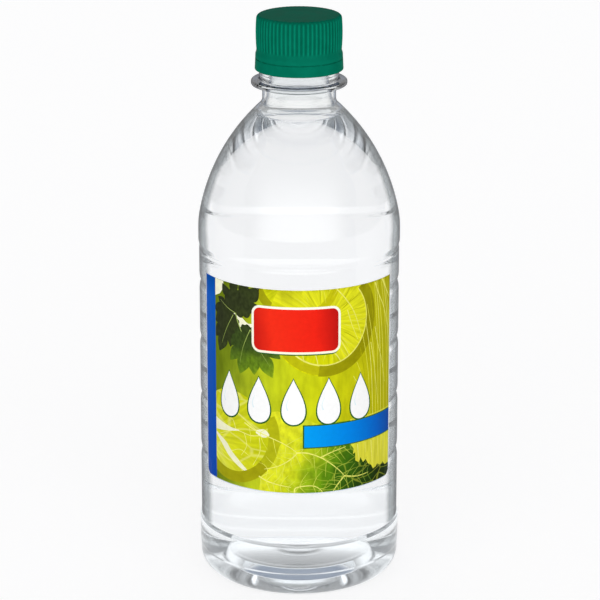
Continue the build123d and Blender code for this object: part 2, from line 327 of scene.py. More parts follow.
# painted shade at the grazing edges of the clear wall, neck, ring and base
wall_plastic = clear_with_painted_edge_shade("clear_wall", 1.36, (0.994, 0.996, 0.998, 1), (0.13, 0.15, 0.16, 1), 0.54, 0.66,
                           (0.10, 0.11, 0.12, 1), 0.66, 0.86, 0.65, (0.920, 0.925, 0.930, 1))
neck_plastic = clear_with_painted_edge_shade("clear_neck", 1.57, (0.975, 0.985, 0.98, 1), (0.04, 0.06, 0.10, 1), 0.50, 0.72,
                           (0.03, 0.04, 0.06, 1), 0.72, 0.90, 0.75)
ring_plastic = clear_with_painted_edge_shade("clear_ring", 1.57, (0.84, 0.865, 0.88, 1), (0.02, 0.03, 0.06, 1), 0.44, 0.68,
                           (0.02, 0.03, 0.05, 1), 0.68, 0.88, 0.80)
base_plastic = clear_with_painted_edge_shade("clear_base", 1.36, (0.97, 0.98, 0.985, 1), (0.62, 0.66, 0.70, 1), 0.72, 0.98,
                           (0.30, 0.33, 0.36, 1), 0.90, 0.99, 0.30)
# the thick plastic of the base is a little hazy, and it has a faint painted glow that lifts its darker parts
haze_and_glow = base_plastic.node_tree.nodes["Principled BSDF"]
haze_and_glow.inputs["Roughness"].default_value = 0.05
# painted light: a faint glow in the base plastic
haze_and_glow.inputs["Emission Color"].default_value = (0.93, 0.97, 1.0, 1)
haze_and_glow.inputs["Emission Strength"].default_value = 0.028
clear_vinegar, acid, acid_tree = material("clear_vinegar", Roughness=0.0, IOR=1.335, Transmission_Weight=1.0)
# a clear liquid with the faintest unevenness in its tint
acid_where = acid_tree.nodes.new("ShaderNodeTexCoord")
swirl = acid_tree.nodes.new("ShaderNodeTexNoise")
swirl.inputs["Scale"].default_value = 28.0
swirl.inputs["Detail"].default_value = 2.0
swirl.inputs["Distortion"].default_value = 0.6
acid_tree.links.new(acid_where.outputs["Object"], swirl.inputs["Vector"])
acid_tint = acid_tree.nodes.new("ShaderNodeValToRGB")
acid_tint.color_ramp.elements[0].position = 0.32
acid_tint.color_ramp.elements[0].color = (0.950, 0.958, 0.966, 1)
acid_tint.color_ramp.elements[1].position = 0.68
acid_tint.color_ramp.elements[1].color = (0.960, 0.967, 0.974, 1)
acid_tree.links.new(swirl.outputs["Fac"], acid_tint.inputs["Fac"])
acid_tree.links.new(acid_tint.outputs["Color"], acid.inputs["Base Color"])
green, g_node, g_tree = material(
    "cap_green", Base_Color=(0.0010, 0.158, 0.094, 1), Roughness=0.32, Specular_IOR_Level=0.001
)
# moulded plastic: a faint mottle in its colour and gloss, and a very fine grain
g_where = g_tree.nodes.new("ShaderNodeTexCoord")
mottle = g_tree.nodes.new("ShaderNodeTexNoise")
mottle.inputs["Scale"].default_value = 260.0
mottle.inputs["Detail"].default_value = 4.0
g_tree.links.new(g_where.outputs["Object"], mottle.inputs["Vector"])
g_ramp = g_tree.nodes.new("ShaderNodeValToRGB")
g_ramp.color_ramp.elements[0].position = 0.30
g_ramp.color_ramp.elements[0].color = (0.0008, 0.147, 0.087, 1)
g_ramp.color_ramp.elements[1].position = 0.70
g_ramp.color_ramp.elements[1].color = (0.0016, 0.172, 0.104, 1)
g_tree.links.new(mottle.outputs["Fac"], g_ramp.inputs["Fac"])
# painted highlight and shade: the ribs are paler on their crests and darker between them
g_split = g_tree.nodes.new("ShaderNodeSeparateXYZ")
g_tree.links.new(g_where.outputs["Object"], g_split.inputs["Vector"])


def g_math(operation, first, second=None):
    node = g_tree.nodes.new("ShaderNodeMath")
    node.operation = operation
    for k, value in enumerate((first, second)):
        if isinstance(value, (int, float)):
            node.inputs[k].default_value = value
        elif value is not None:
            g_tree.links.new(value, node.inputs[k])
    return node.outputs["Value"]


def g_span(value, low, high, to_low, to_high):
    node = g_tree.nodes.new("ShaderNodeMapRange")
    for key, number in (("From Min", low), ("From Max", high), ("To Min", to_low), ("To Max", to_high)):
        node.inputs[key].default_value = number
    g_tree.links.new(value, node.inputs["Value"])
    return node.outputs["Result"]


g_turn = g_math("MULTIPLY", g_math("ARCTAN2", g_split.outputs["Y"], g_split.outputs["X"]), RIBS)
g_rib_highlight_and_shade = g_span(g_math("COSINE", g_turn), -0.6, 1.0, -0.25, 0.39)
g_low = g_span(g_split.outputs["Z"], (CAP_WAIST_Z + 0.2) * MM, (CAP_WAIST_Z + 1.1) * MM, 0.0, 1.0)
g_high = g_span(g_split.outputs["Z"], (CAP_TOP - 0.9) * MM, (CAP_TOP - 0.3) * MM, 1.0, 0.0)
# painted highlight on the rib crests and painted shade between them, faded out at the ribs' ends
g_painted_rib_factor = g_math("ADD", g_math("MULTIPLY", g_math("MULTIPLY", g_rib_highlight_and_shade, g_low), g_high), 1.0)
g_tint = g_tree.nodes.new("ShaderNodeVectorMath")
g_tint.operation = "SCALE"
g_tree.links.new(g_ramp.outputs["Color"], g_tint.inputs[0])
g_tree.links.new(g_painted_rib_factor, g_tint.inputs["Scale"])
g_tree.links.new(g_tint.outputs["Vector"], g_node.inputs["Base Color"])
g_rough = g_tree.nodes.new("ShaderNodeMapRange")
g_rough.inputs["To Min"].default_value = 0.26
g_rough.inputs["To Max"].default_value = 0.42
g_tree.links.new(mottle.outputs["Fac"], g_rough.inputs["Value"])
g_tree.links.new(g_rough.outputs["Result"], g_node.inputs["Roughness"])
g_grain = g_tree.nodes.new("ShaderNodeTexNoise")
g_grain.inputs["Scale"].default_value = 2600.0
g_grain.inputs["Detail"].default_value = 2.0
g_tree.links.new(g_where.outputs["Object"], g_grain.inputs["Vector"])
g_bump = g_tree.nodes.new("ShaderNodeBump")
g_bump.inputs["Strength"].default_value = 0.15
g_bump.inputs["Distance"].default_value = 0.00003
g_tree.links.new(g_grain.outputs["Fac"], g_bump.inputs["Height"])
g_tree.links.new(g_bump.outputs["Normal"], g_node.inputs["Normal"])

# ---------------------------------------------------------------- bottle
line = outer_line() + inner_line()[::-1]
bottle = revolve("bottle_shell", line)
bottle.data.materials.append(wall_plastic)
bottle.data.materials.append(neck_plastic)
bottle.data.materials.append(base_plastic)
bottle.data.materials.append(ring_plastic)
for poly in bottle.data.polygons:
    if poly.center.z > (RING_Z - RING_T / 2 - 0.6) * MM:
        poly.material_index = 3
    elif poly.center.z > (LEVEL + 1.5) * MM:
        poly.material_index = 1
    elif poly.center.z < PANEL_LOW * MM:
        poly.material_index = 2
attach(bottle, "root")
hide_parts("bottle")

# ---------------------------------------------------------------- vinegar
RISE = 0.45  # how far it climbs the wall
wet = [(r, z) for r, z in inner_line() if z < LEVEL + RISE]
# the wetted side is drawn half way into the wall, so that no air is left between them
pts = []
for i, (r, z) in enumerate(wet):
    a, b = wet[max(i - 1, 0)], wet[min(i + 1, len(wet) - 1)]
    tx, tz = b[0] - a[0], b[1] - a[1]
    ln = math.hypot(tx, tz) or 1
    pts.append((max(r + tz / ln * WALL / 2, 0) if r > 0 else 0, z - tx / ln * WALL / 2))
contact_r, contact_z = wet[-1]
for drop_in, up in ((0.12, 0.80), (0.35, 0.50), (0.75, 0.24), (1.3, 0.09), (2.2, 0.02), (4.0, 0.0)):
    pts.append((contact_r - drop_in, LEVEL + up * (contact_z - LEVEL)))
pts.append((0, LEVEL))
vinegar = revolve("vinegar_fill", pts)
vinegar.data.materials.append(clear_vinegar)
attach(vinegar, "root")
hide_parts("vinegar")

# ---------------------------------------------------------------- label print
# The print is drawn as flat outlines in millimetres: u along the label from its left edge, v up from its bottom edge.
# Each outline has an ink; a later one covers an earlier one.
LABEL_R = BODY_R + LABEL_T
LABEL_W = math.radians(LABEL_LEFT + LABEL_RIGHT) * LABEL_R
LABEL_H = LABEL_HIGH - LABEL_LOW
rng = random.Random(7)
art = []


def ink(kind, points):
    art.append((kind, [(float(u), float(v)) for u, v in points]))


def disc(u, v, r, n=72, start=0.0, end=360.0):
    return [(u + r * math.cos(math.radians(start + (end - start) * i / n)),
             v + r * math.sin(math.radians(start + (end - start) * i / n))) for i in range(n + (end - start < 360))]


def band(u, v, r0, r1, start, end, n=48):
    """A piece of a ring between two radii."""
    return disc(u, v, r1, n, start, end) + disc(u, v, r0, n, start, end)[::-1]


def round_box(u0, v0, u1, v1, r, n=6):
    out = []
    for cu, cv, a in ((u1 - r, v1 - r, 0), (u0 + r, v1 - r, 90), (u0 + r, v0 + r, 180), (u1 - r, v0 + r, 270)):
        out += [(cu + r * math.cos(math.radians(a + 90 * i / n)), cv + r * math.sin(math.radians(a + 90 * i / n)))
                for i in range(n + 1)]
    return out


def curve(points, n=24):
    """A smooth line through points (Catmull-Rom)."""
    pts = [points[0]] + list(points) + [points[-1]]
    out = []
    steps = max(2, n // (len(points) - 1))
    for a, b, c, d in zip(pts, pts[1:], pts[2:], pts[3:]):
        for i in range(steps):
            t = i / steps
            out.append(tuple(
                0.5 * (2 * b[k] + (c[k] - a[k]) * t + (2 * a[k] - 5 * b[k] + 4 * c[k] - d[k]) * t * t
                       + (3 * b[k] - a[k] - 3 * c[k] + d[k]) * t**3) for k in (0, 1)))
    return out + [tuple(points[-1])]


def stroke(kind, points, w0, w1=0.0, n=20, bulge=0.0):
    """A tapering line of width w0 at its start and w1 at its end."""
    line = curve(points, n) if len(points) > 2 else [
        (points[0][0] + (points[1][0] - points[0][0]) * i / 6, points[0][1] + (points[1][1] - points[0][1]) * i / 6)
        for i in range(7)]
    left, right = [], []
    for i, p in enumerate(line):
        a, b = line[max(i - 1, 0)], line[min(i + 1, len(line) - 1)]
        l = math.hypot(b[0] - a[0], b[1] - a[1]) or 1
        s = i / (len(line) - 1)
        w = (w0 + (w1 - w0) * s + bulge * math.sin(math.pi * s)) / 2 + 0.012
        nx, ny = -(b[1] - a[1]) / l * w, (b[0] - a[0]) / l * w
        left.append((p[0] + nx, p[1] + ny))
        right.append((p[0] - nx, p[1] - ny))
    ink(kind, left + right[::-1])


def lobe(kind, u, v, angle, length, width, teeth=3):
    """One lobe of a herb leaf with round teeth, from its stalk end at (u, v)."""
    a = math.radians(angle)
    left, right = [], []
    steps = 10 * teeth
    for i in range(steps + 1):
        s = i / steps
        tooth = abs(math.sin(math.pi * (s * teeth + 0.12))) ** 0.6
        half = width / 2 * math.sin(math.pi * min(1, s**0.8)) ** 0.6 * (0.62 + 0.42 * tooth)
        if i == steps:
            half = 0.02
        for side, out in ((1, left), (-1, right)):
            x, y = s * length, side * half + 0.06 * width * math.sin(5 * s + angle) * s
            out.append((u + x * math.cos(a) - y * math.sin(a), v + x * math.sin(a) + y * math.cos(a)))
    ink(kind, left + right[::-1][:-1])


def drop(u, v, w, h, n=40, grow=0.0):
    """A standing drop: round below, drawn out to a point above. (u, v) is the middle of its foot."""
    out = []
    for i in range(n):
        t = 2 * math.pi * i / n
        # teardrop: x follows sin t narrowed towards the tip
        x = math.sin(t) * math.sin(t / 2) ** 1.35
        y = math.cos(t)
        out.append((u + (w / 2 + grow) * x * 1.18, v + h / 2 + (h / 2 + grow) * y))
    return out


# field of lime flesh
ink("field", [(0, 0), (LABEL_W, 0), (LABEL_W, LABEL_H), (0, LABEL_H)])

# second slice, behind, cut by the top edge
S2 = (38.5, 76.0)
ink("flesh_back", disc(*S2, 13.0))
ink("cream", [(42.6, 72), (49.6, 72), (49.0, 66.2), (46.4, 67.8), (43.8, 70.0)])
stroke("glint", [(41.0, 71.3), (46.0, 69.0), (49.4, 65.6)], 0.5, 0.3)
ink("rind", band(*S2, 12.3, 15.2, 180, 262))
ink("rind_soft", band(*S2, 12.3, 15.2, 262, 360))
# first slice
S1 = (48.3, 60.5)
ink("flesh", disc(*S1, 19.1, 90))
ink("rind_soft", band(*S2, 12.4, 15.2, 262, 345))
for k in range(34):
    ang = -175 + 10.2 * k + rng.uniform(-3.5, 3.5)
    a0, a1 = math.radians(ang), math.radians(ang + rng.uniform(-9, 9))
    r0, r1 = rng.uniform(6, 9), rng.uniform(12.0, 15.6)
    p0 = (S1[0] + r0 * math.cos(a0), S1[1] + r0 * math.sin(a0))
    p1 = (S1[0] + r1 * math.cos(a1), S1[1] + r1 * math.sin(a1))
    pm = ((p0[0] + p1[0]) / 2 + rng.uniform(-0.7, 0.7), (p0[1] + p1[1]) / 2 + rng.uniform(-0.7, 0.7))
    stroke(rng.choice(("pith", "pith", "deep")), [p0, pm, p1], 0.08, 0.05, 14, rng.uniform(0.06, 0.2))
# strong lines that cross the first slice
for line, w in (
    ([(52, 71.2), (55.2, 67.5), (58.4, 62.5), (60.6, 56.5), (62.6, 49.2)], 0.42),
    ([(49.6, 50.4), (51.8, 48.6), (53.4, 46.2), (54.4, 44.2)], 0.5),
    ([(52.3, 55.2), (54.5, 51.6), (57.0, 46.8)], 0.34),
    ([(40.4, 49.4), (40.9, 46.6), (41.0, 43.8)], 0.3),
    ([(44.6, 49.6), (45.4, 46.4), (45.8, 44.0)], 0.36),
    ([(55.9, 63.5), (57.6, 58.2), (60.0, 52.6)], 0.3),
):
    stroke("glint", line, w, 0.08)
ink("glint", band(*S1, 15.1, 15.6, 196, 400))
ink("rind_soft", band(*S1, 15.7, 18.7, 163, 262))
ink("rind", band(*S1, 15.5, 19.2, -98, -30))
ink("rind", band(*S1, 15.5, 19.2, -30.5, 40))

# lower field: one big veined leaf, with the stalk's ragged end over it
ink("leaf", [(29, 28.5), (32, 29.2), (36, 28.6), (41, 26.8), (45, 25), (78, 24), (78, -1), (25, -1), (27, 8), (33.5, 18)])
ink("stalk", [
    (57.2, 25), (57.5, 15.8), (58.6, 14.2), (58.3, 12.4), (59.2, 12.9), (59.3, 9.8), (60.8, 9.0), (61.4, 10.6),
    (62.6, 8.6), (63.7, 9.4), (65.0, 7.4), (66.4, 6.6), (67.3, 5.0), (68.8, 5.4), (69.4, 6.3), (71.2, 5.2),
    (72.8, 5.9), (74.2, 4.4), (76.0, 4.7), (78, 3.6), (78, 25),
])

# third slice, lower left
S3 = (14.8, 19.5)
ink("flesh_low", disc(*S3, 14.6, 72))
for line, w in (
    ([(27.6, 20.4), (24.0, 22.0), (19.4, 25.2), (15.0, 27.6)], 0.34),
    ([(27.6, 20.4), (22.6, 19.4), (16.0, 20.0), (7.0, 16.2)], 0.42),
    ([(16.4, 20.2), (15.0, 23.6), (10.4, 26.0), (6.6, 27.2)], 0.26),
    ([(20.0, 19.6), (20.8, 15.4), (18.6, 11.6)], 0.24),
    ([(25.6, 19.2), (25.8, 14.2), (23.2, 9.0)], 0.24),
    ([(14.0, 12.0), (18.0, 13.6), (21.6, 12.2)], 0.2),
    ([(6.6, 21.6), (10.6, 20.2), (13.4, 20.4)], 0.24),
):
    stroke("glint", line, w, 0.1)
ink("cream", curve([(6.3, 22.6), (10.4, 21.4), (14.6, 20.6), (18.0, 20.4), (14.2, 19.4), (10.0, 18.6), (6.3, 18.2)], 42))
ink("cream", curve([(6.3, 16.6), (9.2, 14.2), (13.2, 10.2), (18.2, 7.0), (21.4, 6.2), (18.6, 8.8), (14.4, 12.2),
                    (11.6, 15.0), (6.3, 17.4)], 48))
ink("rind_soft", band(*S3, 14.1, 18.0, -38, 26))
ink("rind", band(*S3, 14.1, 18.0, -140, -37.5))
ink("cream", curve([(24.4, 21.6), (27.4, 22.3), (29.2, 20.4), (27.0, 19.4), (24.4, 20.6)], 24))

# veins of the big leaf
mains = [
    [(20, 23.6), (24, 21.6), (28, 20.2), (33, 18.3), (36.5, 16.4), (38.6, 14.7)],
    [(38.6, 14.7), (42, 14.6), (46.5, 12.8), (50.4, 10.0), (53.4, 7.2), (55, 5.2)],
    [(38.6, 14.7), (36.5, 12.4), (32.4, 9.8), (27.4, 8.2)],
    [(25.4, 5.4), (28.4, 4.0), (32.5, 3.0), (36.6, 2.4)],
    [(37.9, -0.5), (38.2, 2.2), (43.4, 2.9), (46.2, 1.6), (47.6, -0.4)],
    [(55, 5.2), (52.4, 2.4), (50.4, -0.5)],
    [(55, 5.2), (60, 4.2), (65.0, 4.4)],
    [(46.5, 12.8), (50.5, 14.4), (55.5, 15.6)],
]
for line in mains:
    stroke("glint", line, 0.44, 0.16, 30)
    pts = curve(line, 30)
    for i in range(3, len(pts) - 1, 6):
        p, q = pts[i - 1], pts[i + 1]
        head = math.atan2(q[1] - p[1], q[0] - p[0])
        for side in (1, -1):
            a = head + side * math.radians(rng.uniform(46, 70))
            ln = rng.uniform(3.4, 6.6)
            end = (pts[i][0] + ln * math.cos(a), pts[i][1] + ln * math.sin(a))
            mid_p = ((pts[i][0] + end[0]) / 2 + rng.uniform(-0.5, 0.5), (pts[i][1] + end[1]) / 2 + rng.uniform(-0.5, 0.5))
            if end[0] < 7.5 or end[1] > 23:
                continue
            stroke("vein", [pts[i], mid_p, end], 0.24, 0.05, 8)

# long pale lines in the stalk
for k in range(15):
    u0 = 60 + 1.12 * k + rng.uniform(-0.4, 0.4)
    top = LABEL_H + 1 if k > 6 else 40 + 4.8 * k
    bottom = rng.uniform(6.5, 26)
    lean = rng.uniform(3.0, 6.0)
    pts = [(u0 - lean * 0.3, top), (u0 + lean * 0.35, top * 0.62 + bottom * 0.38), (u0 + lean * 0.62, bottom)]
    stroke("glint" if k % 4 == 0 else "pith" if k % 2 else "deep", pts, rng.uniform(0.08, 0.2), 0.05, 14,
           rng.uniform(0.05, 0.22))
for line, w in (
    ([(67.6, 70.8), (69.6, 66.4), (72.6, 61.0), (75.0, 54.0), (76.4, 47.5)], 0.5),
    ([(67.8, 55.4), (69.2, 49.5), (71.8, 42.0), (73.4, 34.5)], 0.36),
    ([(65.8, 50.4), (67.2, 43.6), (68.4, 36.0), (69.6, 27.5)], 0.3),
    ([(66.2, 15.6), (66.5, 11.4), (66.9, 7.0)], 0.5),
    ([(60.2, 15.6), (60.4, 12.6), (60.9, 9.6)], 0.42),
    ([(63.4, 15.6), (63.6, 11.8)], 0.2), ([(69.6, 15.4), (69.9, 8.6)], 0.24), ([(72.8, 15.2), (73.2, 7.6)], 0.2),
    ([(71.6, 71.2), (73.4, 68.0), (76.2, 63.6)], 0.9),
):
    stroke("glint", line, w, 0.1)

# herb leaves, upper left
ink("cream", [(6.6, 71.3), (11.0, 71.3), (11.2, 69.2), (9.2, 66.6), (6.6, 65.4)])
ink("cream", [(15.4, 71.3), (17.4, 71.3), (17.0, 68.2), (16.0, 66.6)])
ink("cream", curve([(13.8, 62.2), (16.4, 61.2), (19.0, 60.4), (21.6, 58.6), (24.2, 58.9), (24.2, 57.2), (21.4, 56.6),
                    (19.4, 55.6), (18.0, 55.0), (16.4, 57.6), (15.0, 59.6), (13.8, 62.2)], 44))
for angle, length, width in ((122, 10.6, 4.6), (94, 12.6, 5.0), (66, 12.6, 6.0), (46, 13.6, 6.4), (22, 9.6, 5.4), (156, 9.0, 4.2)):
    lobe("herb_dark", 16.4, 61.6, angle, length, width)
for angle, length, width in ((178, 9.4, 5.6), (204, 9.8, 6.0), (228, 13.0, 5.8), (246, 16.0, 6.4), (265, 12.0, 4.8), (288, 6.4, 3.6)):
    lobe("herb_dark", 15.4, 61.0, angle, length, width)
for angle, length, width in ((222, 11.0, 5.4), (238, 15.4, 5.8), (256, 17.4, 6.8), (276, 16.4, 6.6), (296, 18.4, 6.8), (316, 14.4, 5.6), (204, 6.0, 3.4)):
    lobe("herb_mid", 22.6, 57.4, angle, length, width)
stroke("herb_vein", [(16.6, 61.4), (17.6, 58.4), (19.0, 55.4)], 0.42, 0.3)
stroke("herb_vein", [(16.4, 61.4), (13.0, 62.6), (9.6, 64.6)], 0.24, 0.05)
stroke("herb_vein", [(22.4, 56.6), (19.6, 50.0), (18.2, 43.6)], 0.26, 0.05)
stroke("herb_vein", [(22.6, 56.6), (25.6, 50.4), (29.6, 44.6)], 0.26, 0.05)
stroke("herb_vein", [(15.6, 60.6), (12.4, 55.0), (10.0, 49.4)], 0.2, 0.05)

# five plain drops in a row, a bare badge and a bare banner
for i in range(5):
    du = 13.6 + 11.9 * i
    ink("outline", drop(du, 24.6, 9.4, 16.0, grow=0.55))
    ink("white", drop(du, 24.6, 9.4, 16.0))
    stroke("tint", [(du - 1.9, 29.6), (du - 2.35, 31.4), (du - 1.5, 34.0)], 0.5, 0.1)
ink("outline", round_box(23.3, 48.9, 53.1, 65.4, 2.9))
ink("badge_edge", round_box(23.0, 49.3, 53.4, 65.6, 2.9))
ink("badge", round_box(23.8, 50.1, 52.6, 64.8, 2.2))
ink("outline", [(40.5, 16.2), (78, 16.1), (78, 24.5), (40.5, 24.5)])
ink("banner", [(41.0, 16.6), (78, 16.4), (78, 24.1), (41.0, 24.1)])
ink("stripe", [(-1, -1), (6.5, -1), (6.5, 73), (-1, 73)])
ink("edge", [(-1, -1), (78, -1), (78, 0.35), (-1, 0.35)])
ink("edge", [(LABEL_W - 0.35, -1), (78, -1), (78, 73), (LABEL_W - 0.35, 73)])
ink("edge", [(-1, -1), (0.3, -1), (0.3, 73), (-1, 73)])

outline = []
for cu, cv, r, a in ((LABEL_W - 0.8, LABEL_H - 0.8, 0.8, 0), (0.8, LABEL_H - 0.8, 0.8, 90), (3.5, 3.5, 3.5, 180), (LABEL_W - 3.5, 3.5, 3.5, 270)):
    outline += [(cu + r * math.cos(math.radians(a + 90 * i / 8)), cv + r * math.sin(math.radians(a + 90 * i / 8))) for i in range(9)]

# one layer of faces: every outline cuts the sheet, and each face takes the ink of the topmost outline over it
cut_verts, cut_faces = [], []
for points in [outline] + [p for _, p in art]:
    cut_faces.append(list(range(len(cut_verts), len(cut_verts) + len(points))))
    cut_verts += [Vector(p) for p in points]
cut_edges = []
STRIP = 1.6
for i in range(1, int(LABEL_W / STRIP) + 1):  # uprights, so that the sheet can follow the bottle
    cut_edges.append((len(cut_verts), len(cut_verts) + 1))
    cut_verts += [Vector((i * STRIP, -0.5)), Vector((i * STRIP, LABEL_H + 0.5))]
for j in range(1, 9):
    cut_edges.append((len(cut_verts), len(cut_verts) + 1))
    cut_verts += [Vector((-0.5, j * 8.0)), Vector((LABEL_W + 0.5, j * 8.0))]
sheet_v, _, sheet_f, _, _, _ = delaunay_2d_cdt(cut_verts, cut_edges, cut_faces, 0, 1e-5, False)


def turns(points, u, v):
    """How many times an outline goes round (u, v)."""
    n = 0
    for (au, av), (bu, bv) in zip(points, points[1:] + points[:1]):
        if (av > v) != (bv > v) and au + (v - av) * (bu - au) / (bv - av) > u:
            n += 1 if bv > av else -1
    return n


boxes = [(min(p[0] for p in pts), max(p[0] for p in pts), min(p[1] for p in pts), max(p[1] for p in pts)) for _, pts in art]
front, tags = [], []
for face in sheet_f:
    u, v = (sum(sheet_v[i][k] for i in face) / len(face) for k in (0, 1))
    if not turns(outline, u, v):
        continue
    for (kind, pts), (u0, u1, v0, v1) in zip(reversed(art), reversed(boxes)):
        if u0 <= u <= u1 and v0 <= v <= v1 and turns(pts, u, v):
            front.append(tuple(face))
            tags.append(kind)
            break
used = sorted({i for f in front for i in f})
index = {old: new for new, old in enumerate(used)}
front = [tuple(index[i] for i in f) for f in front]
flat_uv = [tuple(sheet_v[i]) for i in used]


def on_label(u, v, r):
    a = math.radians(-LABEL_LEFT) + u / LABEL_R
    return (r * math.sin(a), -r * math.cos(a), LABEL_LOW + v)


# counter-clockwise in (u, v) faces out of the bottle
def facing(face):
    (ax, ay), (bx, by), (cx, cy) = (flat_uv[i] for i in face[:3])
    return (bx - ax) * (cy - ay) - (by - ay) * (cx - ax)


front = [f if facing(f) > 0 else f[::-1] for f in front]
count = len(flat_uv)
edge_use = {}
for f in front:
    for a, b in zip(f, f[1:] + f[:1]):
        edge_use[(a, b)] = edge_use.get((a, b), 0) + 1
rim = [(a, b) for a, b in edge_use if (b, a) not in edge_use]
label_verts = [on_label(u, v, LABEL_R) for u, v in flat_uv] + [on_label(u, v, BODY_R - 0.02) for u, v in flat_uv]
label_faces = front + [tuple(i + count for i in f[::-1]) for f in front] + [(b, a, a + count, b + count) for a, b in rim]
label = new_object("label_print", label_verts, label_faces)

label.data.uv_layers.new(name="print")
spots = label.data.uv_layers["print"].data
for poly in label.data.polygons:
    for li in poly.loop_indices:
        u, v = flat_uv[label.data.loops[li].vertex_index % count]
        spots[li].uv = (u / 100, v / 100)


INK_GAIN = 1.12


def ink_colour(colour):
    """A display colour (0-255) as the linear colour of an ink."""
    return (*(min(0.95, INK_GAIN * (((c / 255 + 0.055) / 1.055) ** 2.4 if c > 10 else c / 3294.6)) for c in colour), 1)


